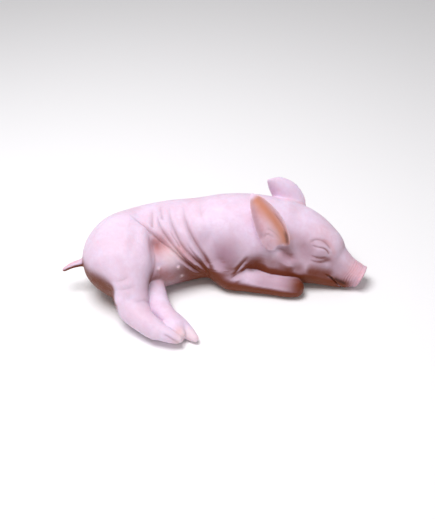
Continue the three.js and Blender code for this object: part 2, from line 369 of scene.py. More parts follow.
# ---- the voxel grid ----
LOW = np.array([-276, -206, -9.0])
HIGH = np.array([264, 112, 178.0])
FIRST = np.floor(LOW / VOXEL).astype(int)
SHAPE = np.ceil((HIGH - LOW) / VOXEL).astype(int)
TO_WORLD = vdb.createLinearTransform(voxelSize=VOXEL)


def coordinates(low, high):
    """x, y and z of the voxels from index low up to high, ready to broadcast."""
    xs = [(FIRST[a] + np.arange(low[a], high[a])) * VOXEL for a in range(3)]
    return (
        xs[0][:, None, None].astype(np.float32),
        xs[1][None, :, None].astype(np.float32),
        xs[2][None, None, :].astype(np.float32),
    )


class Field:
    """Signed distances on the grid, negative inside."""

    CUT_MARGIN = 2

    def __init__(self):
        self.d = np.full(SHAPE, BAND, np.float32)

    def part(self, mesh, reach):
        """The signed distance to one closed mesh, in the block of voxels within reach of it."""
        points, triangles = mesh
        low = np.clip(np.floor((points.min(0) - reach) / VOXEL).astype(int) - FIRST, 0, SHAPE)
        high = np.clip(np.ceil((points.max(0) + reach) / VOXEL).astype(int) - FIRST + 1, 0, SHAPE)
        grid = vdb.FloatGrid.createLevelSetFromPolygons(
            points.astype(np.float32),
            triangles=triangles.astype(np.uint32),
            transform=TO_WORLD,
            halfWidth=max(3.0, reach / VOXEL + 1),
        )
        block = np.zeros(high - low, np.float32)
        grid.copyToArray(block, ijk=tuple(int(v) for v in FIRST + low))
        where = tuple(slice(a, b) for a, b in zip(low, high))
        return where, block, coordinates(low, high)

    def join(self, mesh, soft, reach=BAND - 1):
        """Melts a mesh in. `soft` is how far apart two surfaces still pull together, or a rule for it."""
        where, block, xyz = self.part(mesh, reach)
        k = soft if np.isscalar(soft) else soft(*xyz)
        near = np.maximum(k - np.abs(self.d[where] - block), 0)
        self.d[where] = np.minimum(self.d[where], block) - near * near / (4 * k)

    def melt(self, other, soft):
        """Melts a whole field in. `soft` is a rule, as in join."""
        k = soft(*coordinates((0, 0, 0), SHAPE))
        near = np.maximum(k - np.abs(self.d - other.d), 0)
        self.d = np.minimum(self.d, other.d) - near * near / (4 * k)

    def cut(self, mesh, soft):
        """Carves a mesh out."""
        where, block, _ = self.part(mesh, soft + self.CUT_MARGIN)
        near = np.maximum(soft - np.abs(self.d[where] + block), 0)
        self.d[where] = np.maximum(self.d[where], -block) + near * near / (4 * soft)

    def rest_on_table(self, soft):
        """Cuts the field flat at height 0, where the pig lies."""
        z = coordinates((0, 0, 0), SHAPE)[2]
        near = np.maximum(soft - np.abs(self.d + z), 0)
        self.d = np.maximum(self.d, -z) + near * near / (4 * soft)

    def mesh(self):
        grid = vdb.FloatGrid(background=BAND)
        grid.transform = TO_WORLD
        grid.copyFromArray(np.clip(self.d, -BAND, BAND), ijk=tuple(int(v) for v in FIRST))
        points, quads = grid.convertToQuads()
        return points.astype(float), quads.astype(int)


def ball(centre, axes, sizes, sides=28, rings=18):
    """An egg with half sizes `sizes` along the three `axes`."""
    along, upright, side = (np.asarray(a, float) for a in axes)
    theta = np.linspace(0, np.pi, rings + 1)
    phi = np.linspace(0, 2 * np.pi, sides, endpoint=False)
    rows = [
        centre
        + along * sizes[0] * -math.cos(t)
        + (np.cos(phi) * math.sin(t))[:, None] * side * sizes[2]
        + (np.sin(phi) * math.sin(t))[:, None] * upright * sizes[1]
        for t in theta[1:-1]
    ]
    points = np.concatenate([*rows, [centre - along * sizes[0]], [centre + along * sizes[0]]])
    return points, tube_triangles(len(rows), sides)


def smooth(t):
    t = np.clip(t, 0, 1)
    return t * t * (3 - 2 * t)


def ramp(value, start, stop):
    """From 0 at start to 1 at stop, gently at both ends."""
    return smooth((value - start) / (stop - start))


# How far apart two surfaces still pull together, in millimetres. The functions below are rules for it.
SOFT = dict(trunk=6, head=20, jaw=16, thigh=6, ham=24, tail=7, claw=5, dewclaw=4, ear=6)
SOFT.update(mouth=2.5, nostril=3, table=4)
CLAW_REACH, DEWCLAW_REACH, EAR_REACH = 8, 6, 8


def near_thigh_softness(x, y, z):
    """The ham melts into the rump but stands off the belly, and lower down off the far leg."""
    return 26 - 22 * np.maximum(ramp(x, -150, -124), ramp(y, -86, -118))


def far_thigh_softness(x, y, z):
    """The far thigh melts into the belly, and its shank lies free."""
    return 16 - 12 * ramp(y, -40, -80)


def near_elbow_softness(x, y, z):
    """The elbow hangs in the skin of the chest; in front of it the forearm lies free."""
    return 24 - 21 * ramp(z, 60, 34) * ramp(x, 32, 50)


def far_elbow_softness(x, y, z):
    """The far elbow melts into the chest, and the forearm lies free near the table."""
    return 24 - 21 * ramp(z, 60, 34)


def sculpt():
    """The pig's whole skin as one closed mesh."""
    field = Field()
    field.join(loft(TRUNK), SOFT["trunk"])
    field.join(loft(HEAD), SOFT["head"])
    field.join(loft(JAW), SOFT["jaw"])
    field.join(loft(HIND_LEFT), far_thigh_softness)
    thigh = Field()
    thigh.join(loft(HIND_RIGHT), SOFT["thigh"])
    thigh.join(loft(HAM, section=squarish), SOFT["ham"])
    field.melt(thigh, near_thigh_softness)
    field.join(loft(FORE_RIGHT), near_elbow_softness)
    field.join(loft(FORE_LEFT), far_elbow_softness)
    field.join(loft(TAIL, sides=24, rings=40), SOFT["tail"])
    for leg in (HIND_RIGHT, HIND_LEFT, FORE_RIGHT, FORE_LEFT):
        claws, spurs = foot(leg["foot"])
        for piece in claws:
            field.join(loft(piece, sides=24, rings=24), SOFT["claw"], CLAW_REACH)
        for piece in spurs:
            field.join(loft(piece, sides=20, rings=20), SOFT["dewclaw"], DEWCLAW_REACH)
    for place in (EAR_RIGHT, EAR_LEFT):
        field.join(loft(ear(place), sides=64, rings=60, section=cupped), SOFT["ear"], EAR_REACH)
    field.cut(loft(MOUTH, sides=64, rings=40), SOFT["mouth"])
    for hand in (NEAR, FAR):
        centre, axes = nostril(hand)
        field.cut(ball(centre, axes, NOSTRIL["sizes"]), SOFT["nostril"])
    field.rest_on_table(SOFT["table"])
    return field.mesh()


# ---- relief on the skin ----
def rounded(points, rounds=3):
    """A broken line with its corners cut until it runs smoothly."""
    points = np.asarray(points, float)
    for _ in range(rounds):
        a, b = points[:-1], points[1:]
        cut = np.stack([a * 0.75 + b * 0.25, a * 0.25 + b * 0.75], 1).reshape(-1, 3)
        points = np.concatenate([points[:1], cut, points[-1:]])
    return points


class Skin:
    """The sculpted skin, with the relief and the colour masks that are worked into its vertices."""

    # The masks for creases, mauve, amber, brown and dark hold painted shade; the flush mask also paints shade
    # in the groin, and the pale mask also a painted highlight on the belly pouch.
    MASKS = ("fold", "flush_and_shade", "mauve_shade", "amber_shade", "brown_shade", "recess_shade", "pale_and_highlight")
    RELAX_ROUNDS = 2
    RELAX_PUSHES = (0.5, -0.52)
    CREASE_REACH = 6  # how many widths from its line a crease is still felt
    SOFT_REACH = 2.6  # the same for round bumps, wide grooves and stains
    LIP_AT, LIP_WIDTH = 2.3, 1.3  # the rounded skin beside a crease, in widths

    def __init__(self, points, quads):
        self.points, self.quads = points, quads
        self.relax()
        self.normals = self.facing()
        count = len(points)
        self.groove = np.zeros(count)
        self.rise = np.zeros(count)
        self.masks = {name: np.zeros(count) for name in self.MASKS}
        self.tree = KDTree(count)
        for i, point in enumerate(self.points):
            self.tree.insert(point, i)
        self.tree.balance()

    def relax(self):
        """Evens out the grid's steps without shrinking the shape."""
        q = self.quads
        a = np.concatenate([q[:, 0], q[:, 1], q[:, 2], q[:, 3]])
        b = np.concatenate([q[:, 1], q[:, 2], q[:, 3], q[:, 0]])
        count = len(self.points)
        ties = np.bincount(a, minlength=count)[:, None]
        for _ in range(self.RELAX_ROUNDS):
            for push in self.RELAX_PUSHES:
                mean = np.stack([np.bincount(a, self.points[b, k], count) for k in range(3)], 1) / ties
                self.points = self.points + push * (mean - self.points)

    def facing(self):
        """The direction in which each vertex faces."""
        p, q = self.points, self.quads
        flat = np.cross(p[q[:, 2]] - p[q[:, 0]], p[q[:, 3]] - p[q[:, 1]])
        total = np.stack([
            sum(np.bincount(q[:, c], flat[:, k], len(p)) for c in range(4)) for k in range(3)
        ], 1)
        return total / np.maximum(np.linalg.norm(total, axis=1), 1e-9)[:, None]

    def onto(self, line):
        """Lays points onto the skin; returns them with the directions in which the skin faces there."""
        found = [self.tree.find(p)[1] for p in line]
        normals = self.normals[found]
        lift = ((self.points[found] - line) * normals).sum(1)
        return line + normals * lift[:, None], normals

    def beside(self, line, reach):
        """The vertices near a line, how far each is from it, and how far along it, from 0 to 1."""
        line, facing = self.onto(line)
        box = ((self.points > line.min(0) - reach) & (self.points < line.max(0) + reach)).all(1)
        near = np.flatnonzero(box)
        start, step = line[:-1], np.diff(line, axis=0)
        sizes = np.linalg.norm(step, axis=1)
        before = np.concatenate([[0], np.cumsum(sizes)])
        off = np.full(len(near), np.inf)
        share = np.zeros(len(near))
        p, n = self.points[near], self.normals[near]
        for i in range(len(start)):
            if sizes[i] < 1e-6:
                continue
            t = np.clip((p - start[i]) @ step[i] / sizes[i] ** 2, 0, 1)
            away = p - start[i] - t[:, None] * step[i]
            distance = np.linalg.norm(away, axis=1)
            better = (distance < off) & (n @ facing[i] > 0)
            off[better] = distance[better]
            share[better] = (before[i] + t[better] * sizes[i]) / before[-1]
        keep = off < reach
        return near[keep], off[keep], share[keep]

    def around(self, spot, reach):
        """The vertices near a spot, and how far each is from it."""
        centre, facing = self.onto(np.array([spot], float))
        distance = np.linalg.norm(self.points - centre[0], axis=1)
        near = np.flatnonzero((distance < reach) & (self.normals @ facing[0] > 0))
        return near, distance[near]

    def tint(self, name, near, strength):
        mask = self.masks[name]
        mask[near] = np.maximum(mask[near], strength)

    def crease(self, line, depth, width, lip=0.3, tint=0.6, start=0.22, end=0.22):
        """A sharp groove with rounded skin on both sides; it fades in and out over shares of its length."""
        near, off, share = self.beside(line, width * self.CREASE_REACH)
        fade = smooth(share / start + 0.05) * smooth((1 - share) / end + 0.05)
        groove = depth * np.exp(-off / width) * fade
        self.groove[near] = np.maximum(self.groove[near], groove)
        bulge = np.exp(-(((off - self.LIP_AT * width) / (self.LIP_WIDTH * width)) ** 2))
        self.rise[near] += depth * lip * bulge * fade
        # Painted shade in the groove: the crease's tint, stronger towards the line's end.
        self.tint("fold", near, tint * (0.3 + 0.7 * share) * np.exp(-off / (0.9 * width)) * fade)

    def trough(self, line, depth, width, ends=0.3):
        """A wide soft groove, or with a negative depth a ridge."""
        near, off, share = self.beside(line, width * self.SOFT_REACH)
        fade = smooth(share / ends) * smooth((1 - share) / ends)
        self.rise[near] -= depth * np.exp(-((off / width) ** 2)) * fade

    def swell(self, spot, height, radius):
        """A round bump, or with a negative height a dimple."""
        near, distance = self.around(spot, radius * self.SOFT_REACH)
        self.rise[near] += height * np.exp(-((distance / radius) ** 2))

    def stain(self, name, spot, radius, strength):
        near, distance = self.around(spot, radius * self.SOFT_REACH)
        self.tint(name, near, strength * np.exp(-((distance / radius) ** 2)))

    def stripe(self, name, line, width, strength, ends=0.25):
        near, off, share = self.beside(line, width * self.SOFT_REACH)
        fade = smooth(share / ends + 0.1) * smooth((1 - share) / ends + 0.1)
        self.tint(name, near, strength * np.exp(-((off / width) ** 2)) * fade)

    def finish(self):
        self.points = self.points + self.normals * (self.rise - self.groove)[:, None]
        self.normals = self.facing()


def on(part, *places, hand=NEAR):
    """A smooth line through places on a part, each (distance along it, degrees around it)."""
    spine = Spine(part)
    return rounded([spine.skin(d, around, hand) for d, around in places])


def through(*places):
    return rounded(places)


# Folds of the near flank: depth, width, share of the length over which it starts, tint of painted shade in
# the crease, places on the trunk.
NEAR_FOLDS = (
    (4.0, 2.6, 0.30, 0.7, ((88, 30), (97, 48), (108, 66), (124, 83), (156, 109), (187, 132), (204, 143))),
    (1.2, 3.0, 0.5, 0.3, ((129, 27), (122, 48), (115, 65))),
    (3.6, 2.6, 0.45, 0.75, ((133, 34), (128, 62), (138, 83), (150, 99), (180, 123), (204, 143))),
    (1.2, 3.0, 0.5, 0.2, ((147, 16), (140, 36), (136, 56))),
    (3.2, 3.0, 0.5, 0.6, ((160, 20), (151, 55), (157, 80), (167, 95), (197, 120), (212, 140))),
    (3.0, 3.0, 0.5, 0.6, ((184, 22), (181, 54), (188, 77), (200, 95), (210, 112), (213, 129))),
    (1.0, 3.4, 0.5, 0.1, ((211, 16), (211, 52))),
    (1.8, 2.2, 0.3, 0.4, ((143, 70), (150, 84), (158, 96))),
    (2.0, 2.4, 0.3, 0.4, ((172, 84), (184, 99), (196, 112), (208, 131))),
    (2.2, 2.0, 0.3, 0.8, ((186, 118), (198, 131), (210, 146))),
    (2.2, 2.0, 0.3, 0.8, ((200, 118), (209, 130), (216, 144))),
)
# Folds of the far flank: depth, tint of painted shade in the crease, places on the trunk.
FAR_FOLDS = (
    (2.2, 0.3, ((112, 10), (118, 34), (128, 58), (140, 78))),
    (1.8, 0.25, ((136, 4), (144, 34), (150, 60), (152, 84))),
    (2.0, 0.25, ((164, 2), (168, 32), (166, 62), (160, 88))),
    (1.6, 0.2, ((196, 10), (196, 40), (188, 70))),
)
HAM_EDGE = (
    (-111, -34, 110), (-108, -46, 98), (-107, -58, 86), (-107, -68, 74), (-107, -80, 60), (-108, -90, 48)
)
SHOULDER_SHADE = ((-10, -20, 116), (4, -38, 94), (14, -48, 70), (14, -54, 40), (14, -56, 20))


def flank(skin):
    """The slack skin between the ham and the shoulder, gathered towards the elbow."""
    for depth, width, start, tint, places in NEAR_FOLDS:
        skin.crease(on(TRUNK, *places), depth, width, lip=0.3, tint=tint, start=start, end=0.12)
    for depth, tint, places in FAR_FOLDS:
        line = on(TRUNK, *places, hand=FAR)
        skin.crease(line, depth, width=3.4, lip=0.5, tint=tint, start=0.45, end=0.45)
    behind_shoulder = on(TRUNK, (218, 60), (222, 84), (230, 100), (236, 115), (240, 130))
    skin.trough(behind_shoulder, depth=5, width=13)
    skin.trough(on(TRUNK, (172, 60), (176, 80), (190, 100), (202, 118)), depth=-2, width=6)
    skin.trough(on(TRUNK, (150, 66), (156, 86), (170, 104), (190, 122)), depth=-1.6, width=5)
    trunk = Spine(TRUNK)
    skin.swell(trunk.skin(140, 114), height=5, radius=24)
    groin = trunk.skin(120, 89)
    skin.swell(groin, height=-8, radius=15)
    # Painted shade in the groin pocket and just in front of it, in the flush and crease colours.
    skin.stain("flush_and_shade", groin, radius=18, strength=0.95)
    skin.stain("fold", groin, radius=15, strength=0.3)
    skin.stain("fold", trunk.skin(112, 84), radius=9, strength=0.3)
    # Painted highlight: the upper side of the belly pouch painted paler.
    skin.stain("pale_and_highlight", trunk.skin(134, 106), radius=16, strength=1)
    skin.crease(through(*HAM_EDGE), depth=1.2, width=2.6, lip=0.1, tint=0.35, start=0.3, end=0.3)
    skin.stripe("flush_and_shade", on(TRUNK, (146, 90), (160, 98), (172, 110), (184, 122)), width=9, strength=0.6)
    skin.stripe("flush_and_shade", on(TRUNK, (98, 118), (108, 128), (126, 138), (150, 138)), width=15, strength=0.85)
    # Painted shade with warm light reflected from below, low on the flank.
    skin.stain("brown_shade", trunk.skin(206, 138), radius=13, strength=0.6)
    skin.stain("brown_shade", trunk.skin(190, 140), radius=12, strength=0.4)
    # Painted shade down the back of the shoulder and on the flank behind it.
    skin.stripe("mauve_shade", through(*SHOULDER_SHADE), width=32, strength=0.92, ends=0.5)
    skin.stain("mauve_shade", trunk.skin(206, 84), radius=20, strength=0.4)


TEATS = ((-99, -68, 69), (-69, -52, 60), (-63, -50, 38))


def underline(skin):
    """The three teats that show on the belly."""
    for spot in TEATS:
        skin.swell(spot, height=2.4, radius=2.8)
        skin.stain("pale_and_highlight", spot, radius=4, strength=0.9)


# Creases in the crook of the elbow and over the hock: depth, width, lip, tint of painted shade, fade, points.
LIMB_CREASES = (
    (2.0, 3.2, 0.5, 0.35, 0.4, ((24, -52, 44), (34, -48, 52), (43, -45, 63), (50, -42, 74))),
    (1.8, 3.2, 0.5, 0.35, 0.4, ((18, -56, 34), (34, -50, 43), (50, -45, 47))),
    (1.1, 3.2, 0.25, 0.15, 0.45, ((-168, -110, 78), (-154, -114, 82), (-140, -106, 88))),
    (0.9, 3.4, 0.25, 0.12, 0.45, ((-166, -120, 70), (-148, -123, 72), (-130, -116, 76))),
)
ABOVE_FOREARM = ((46, -44, 48), (60, -40, 47), (75, -41, 46), (92, -44, 46), (108, -48, 42), (134, -54, 38))
ALONG_FOREARM = ((40, -56, 38), (66, -60, 34), (92, -62, 33), (118, -64, 32), (150, -64, 28))
BETWEEN_CLAWS = ((-88, -180, 31), (-78, -183, 27), (-68, -185, 20), (-60, -183, 13))
WRIST, ELBOW, FAR_TOES = (140, -64, 26), (10, -56, 18), (-62, -168, 26)
HOCK, BESIDE_HOCK, ABOVE_HOCK = (-160, -130, 52), (-142, -133, 59), (-176, -112, 60)


def limbs(skin):
    """Folds at the elbow, the line between the forearm and the chest, and the bony hock."""
    for depth, width, lip, tint, fade, points in LIMB_CREASES:
        skin.crease(through(*points), depth, width, lip, tint, start=fade, end=fade)
    # Painted shade: in the gap above the forearm, brownish with warm light reflected from below under the
    # wrist and elbow, and in mauve along the forearm.
    skin.stripe("fold", through(*ABOVE_FOREARM), width=3.2, strength=0.6, ends=0.15)
    skin.stripe("brown_shade", through(*ABOVE_FOREARM), width=7, strength=0.4, ends=0.15)
    skin.stain("brown_shade", WRIST, radius=22, strength=0.95)
    skin.stain("brown_shade", ELBOW, radius=18, strength=0.4)
    skin.stripe("mauve_shade", through(*ALONG_FOREARM), width=16, strength=0.6, ends=0.4)
    skin.crease(through(*BETWEEN_CLAWS), depth=2.2, width=2.0, lip=0.25, tint=0.4)
    skin.stain("flush_and_shade", FAR_TOES, radius=8, strength=0.6)
    skin.swell(HOCK, height=3.5, radius=10)
    skin.swell(BESIDE_HOCK, height=-2.2, radius=8)
    skin.swell(ABOVE_HOCK, height=-3, radius=9)


# Lines round an eye: depth, width, lip, tint of painted shade, places on the head.
BROW_AND_LIDS = (
    (1.1, 1.9, 0.25, 0.45, ((82, 62), (86, 51), (94, 44), (103, 42), (113, 47))),
    (0.6, 1.9, 0.25, 0.3, ((90, 79), (99, 79), (107, 76), (114, 66))),
    (0.3, 2.0, 0.2, 0.25, ((94, 88), (104, 88), (114, 80))),
)
EYE_SLIT = ((87, 62), (95, 60), (102, 55), (108, 53), (115, 57))


def face(skin, hand):
    """A closed eye in a creased socket, with a hollow temple."""
    skull = Spine(HEAD)
    skin.swell(skull.skin(103, 66, hand), height=3.2, radius=11)
    slit = on(HEAD, *EYE_SLIT, hand=hand)
    skin.crease(slit, depth=1.7, width=1.3, lip=0.2, tint=0.75, start=0.2, end=0.15)
    for depth, width, lip, tint, places in BROW_AND_LIDS:
        skin.crease(on(HEAD, *places, hand=hand), depth, width, lip, tint)
    skin.stain("flush_and_shade", skull.skin(96, 26, hand), radius=20, strength=0.35)
    # Painted shade on the cheek and round the eye.
    skin.stain("mauve_shade", skull.skin(70, 92, hand), radius=24, strength=0.5)
    skin.stain("mauve_shade", skull.skin(104, 72, hand), radius=15, strength=0.6)
    skin.stain("mauve_shade", skull.skin(98, 50, hand), radius=15, strength=0.35)
    brow = on(HEAD, (92, 42), (106, 37), (118, 44), (123, 54), hand=hand)
    skin.stripe("flush_and_shade", brow, width=5, strength=0.45)
    skin.stain("flush_and_shade", skull.skin(119, 58, hand), radius=6, strength=0.35)
    temple = skull.skin(74, 71, hand)
    skin.swell(temple, height=-2, radius=8)
    # Painted shade in the temple's hollow.
    skin.stain("fold", temple, radius=9, strength=0.12)
    skin.swell(skull.skin(118, 74, hand), height=-1.2, radius=7)


UNDER_EAR = ((92, -31, 82), (108, -30, 79), (115, -30, 70), (124, -34, 64), (134, -39, 62))
SLACK_CHEEK = ((92, -40, 74), (106, -40, 64), (122, -45, 56), (132, -46, 54))
NECK_SHADE = ((70, -34, 74), (104, -38, 68), (128, -42, 62), (166, -36, 60))
BEHIND_JAW = (134, -46, 48)
# Painted shade on the neck and temple, behind the jaw and under the ear: mask, spot, radius, strength.
NECK_STAINS = (
    ("brown_shade", BEHIND_JAW, 13, 0.35),
    ("brown_shade", (116, -30, 79), 15, 0.2),
    ("brown_shade", (88, -42, 58), 17, 0.35),
    ("mauve_shade", (138, -25, 92), 22, 0.5),
    ("mauve_shade", (147, -31, 78), 24, 0.65),
    ("fold", (112, -30, 74), 9, 0.2),
)


def neck(skin):
    """The fold that runs forward from under the near ear, and the slack cheek below it."""
    fold = through(*UNDER_EAR)
    skin.crease(fold, depth=2.6, width=3.8, lip=0.3, tint=0.5, start=0.2, end=0.4)
    skin.trough(fold, depth=3, width=9)
    skin.trough(through(*SLACK_CHEEK), depth=-2.5, width=9)
    skin.swell(BEHIND_JAW, height=-1.6, radius=9)
    for mask, spot, radius, strength in NECK_STAINS:
        skin.stain(mask, spot, radius, strength)
    # Painted shade along the neck below the ear.
    skin.stripe("mauve_shade", through(*NECK_SHADE), width=24, strength=0.6, ends=0.5)


# The snout, in millimetres along its axis from the disc, forward is positive. Each pair is the value at which
# something starts and the value at which it is complete.
SNOUT = dict(length=60, front=6, radius=32, facing_ahead=(0.5, 0.9))
WRINKLE = dict(height=0.45, spacing=4.0, sway=1.6, sway_length=4, fade_in=(-34, -22), fade_out=(-5, -9))
RIM = dict(height=0.9, at=-2.5, width=2.2)
RIM_GROOVE = dict(height=-0.6, at=-8, width=2.8)
SNOUT_AXIS = (46, 19)  # how far back the middle line is followed, and over how much its direction is taken
SNOUT_FLUSH = dict(strength=0.55, reach=(-50, -20))
# Painted shade inside the nostrils.
NOSTRIL_SHADE = dict(strength=0.7, depth=3, distance=(7.5, 4))


def snout(skin):
    """Fine rings of wrinkles, a groove and a rolled rim round the disc."""
    spine = Spine(HEAD)
    back, lead = SNOUT_AXIS
    stops = np.linspace(spine.length - back, spine.length, back + 1)
    centres = np.array([spine.value(d)[:3] for d in stops])
    disc = centres[-1]
    along = unit(disc - centres[-1 - lead])
    reach = (skin.points - disc) @ along
    out = np.linalg.norm((skin.points - disc) - reach[:, None] * along, axis=1)
    close = (out < SNOUT["radius"]) & (reach < SNOUT["front"]) & (reach > -SNOUT["length"])
    band = close * (1 - ramp(np.abs(skin.normals @ along), *SNOUT["facing_ahead"]))
    sway = WRINKLE["sway"] * np.sin(skin.points[:, 2] / WRINKLE["sway_length"])
    rings = np.cos(reach * 2 * np.pi / WRINKLE["spacing"] + sway)
    fade = ramp(reach, *WRINKLE["fade_in"]) * ramp(reach, *WRINKLE["fade_out"])
    skin.rise += band * WRINKLE["height"] * rings * fade
    for ring in (RIM, RIM_GROOVE):
        skin.rise += band * ring["height"] * np.exp(-(((reach - ring["at"]) / ring["width"]) ** 2))
    everywhere = np.arange(len(skin.points))
    # Painted shade inside the nostrils, strongest deep in them.
    for hand in (NEAR, FAR):
        centre, _ = nostril(hand)
        away = np.linalg.norm(skin.points - (centre - along * NOSTRIL_SHADE["depth"]), axis=1)
        skin.tint("recess_shade", everywhere, NOSTRIL_SHADE["strength"] * ramp(away, *NOSTRIL_SHADE["distance"]))
    skin.tint("flush_and_shade", everywhere, close * SNOUT_FLUSH["strength"] * ramp(reach, *SNOUT_FLUSH["reach"]))


EAR_LIFT = 2  # from an ear's middle surface out to its skin


def on_ear(place, *spots):
    """A smooth line on an ear: each spot is 0 to 1 from root to tip, and -1 to 1 from back to front rim."""
    spine = Spine(ear(place))
    line = []
    for share, across in spots:
        value = spine.value(share * spine.length)
        _, upright, side = spine.axes(share * spine.length)
        radius = value[3] / EAR["cup"]
        bend = EAR["cup"] * across
        rise = radius * (1 - math.cos(bend)) + EAR_LIFT
        line.append(value[:3] + side * radius * math.sin(bend) + upright * rise)
    return rounded(line)


# Painted shade and flush on an ear: mask, width, strength, fade, spots.
NEAR_EAR_STRIPES = (
    ("amber_shade", 13, 0.9, 0.1, ((0.0, 0.7), (0.3, 0.5), (0.6, 0.3), (0.95, 0.15))),
    ("flush_and_shade", 15, 0.5, 0.1, ((0.0, -0.4), (0.4, -0.6), (0.8, -0.5))),
    ("mauve_shade", 9, 0.5, 0.1, ((0.3, -0.8), (0.6, -0.8), (0.95, -0.5))),
    ("recess_shade", 3.4, 0.35, 0.4, ((0.0, 0.7), (0.14, 0.7), (0.3, 0.62))),
)
FAR_EAR_STRIPES = (
    ("flush_and_shade", 14, 0.35, 0.1, ((0.1, 0.0), (0.4, 0.0), (0.7, 0.0))),
    ("amber_shade", 9, 0.35, 0.2, ((0.0, -0.4), (0.3, -0.6), (0.5, -0.8))),
)
# Ridges and veins of an ear: depth, width, lip, tint of painted shade, spots.
NEAR_EAR_CREASES = (
    (1.4, 2.4, 0.3, 0.2, ((0.04, 0.72), (0.2, 0.7), (0.4, 0.64), (0.6, 0.5))),
    (0.8, 1.6, 0.4, 0.15, ((0.12, 0.25), (0.3, 0.0), (0.42, -0.25))),
    (0.8, 1.6, 0.4, 0.15, ((0.2, -0.1), (0.32, -0.35), (0.3, -0.6))),
)
FAR_EAR_CREASES = ((0.8, 2.0, 0.4, 0.3, ((0.1, 0.1), (0.4, 0.15), (0.7, 0.1))),)


def ears(skin):
    """Painted shade on the ears, warm in their hollows, darker along the near ear's front rim and mauve at
    its back rim; flushed stretches, and a few veins.
    """
    for place, stripes, creases in (
        (EAR_RIGHT, NEAR_EAR_STRIPES, NEAR_EAR_CREASES),
        (EAR_LEFT, FAR_EAR_STRIPES, FAR_EAR_CREASES),
    ):
        for mask, width, strength, fade, spots in stripes:
            skin.stripe(mask, on_ear(place, *spots), width, strength, fade)
        for depth, width, lip, tint, spots in creases:
            skin.crease(on_ear(place, *spots), depth, width, lip, tint)


# Lines on the jaw along which shade is painted: the mouth's line, across the cheek and along the jaw's
# underside.
LIPS = ((131, 56), (139, 66), (147, 70), (154, 75), (163, 90))
CHEEK_BROWN_SHADE = ((88, 80), (108, 74), (128, 66), (140, 78))
JAW_BROWN_SHADE = ((100, 100), (130, 100), (158, 104))


def mouth(skin):
    """Painted shade along the mouth's line and in its corner, and warm brownish painted shade over the cheeks
    and jaw.
    """
    for hand in (NEAR, FAR):
        skin.stripe("recess_shade", on(JAW, *LIPS, hand=hand), width=2.6, strength=0.6, ends=0.15)
        corner = Spine(JAW).skin(136, 63, hand)
        skin.stain("fold", corner, radius=8, strength=0.6)
        skin.stain("recess_shade", corner, radius=4, strength=0.5)
        skin.swell(corner, height=-1.2, radius=6)
        # Painted shade with warm light reflected from below on the cheek and jaw.
        skin.stripe("brown_shade", on(JAW, *CHEEK_BROWN_SHADE, hand=hand), width=13, strength=0.75)
        skin.stripe("brown_shade", on(JAW, *JAW_BROWN_SHADE, hand=hand), width=15, strength=0.95)


CLAW_PALENESS = (26, 10)  # distances from the toes
TAIL_FLUSH = dict(first=10, step=12, count=5, around=60, radius=9, strength=0.8)


def claws_and_tail(skin):
    """Pale claws on the hind feet and a flushed tail."""
    everywhere = np.arange(len(skin.points))
    for leg in (HIND_RIGHT, HIND_LEFT):
        distance = np.linalg.norm(skin.points - np.array(leg["foot"]["toes"], float), axis=1)
        skin.tint("pale_and_highlight", everywhere, ramp(distance, *CLAW_PALENESS))
    for i in range(TAIL_FLUSH["count"]):
        spot = Spine(TAIL).skin(TAIL_FLUSH["first"] + TAIL_FLUSH["step"] * i, TAIL_FLUSH["around"])
        skin.stain("flush_and_shade", spot, TAIL_FLUSH["radius"], TAIL_FLUSH["strength"])


# Where the skin is painted darker as it faces down and nears the table: painted shade, brownish with warm
# light reflected from below and mauve for softer shade. Each pair is the value at which it starts and the
# value at which it is complete;
# heights and places are in millimetres, facings are parts of the skin's outward direction.
BROWN_SHADING = dict(strength=0.95, facing_up=(0.42, -0.04), height=84, depth=36, rump_rise=12)
DOWNWARD_SHADE = dict(strength=0.95, facing_up=(0.75, -0.05), height=(110, 50))
CHEEK = dict(strength=0.1, forward=(96, 126), facing_up=(0.9, 0.3), height=(120, 70))
RUMP_X, HIND_FEET_Y = (-158, -172), (-118, -78)
FAR_SIDE = dict(facing_left=(0, 0.5), loss=0.5)
BELLY = dict(x=-85, length=32, facing_left=(0.5, -0.5), brown_shade_loss=0.72, shade_loss=0.85)
NOSE = dict(distance=(40, 22), shade_loss=0.5)


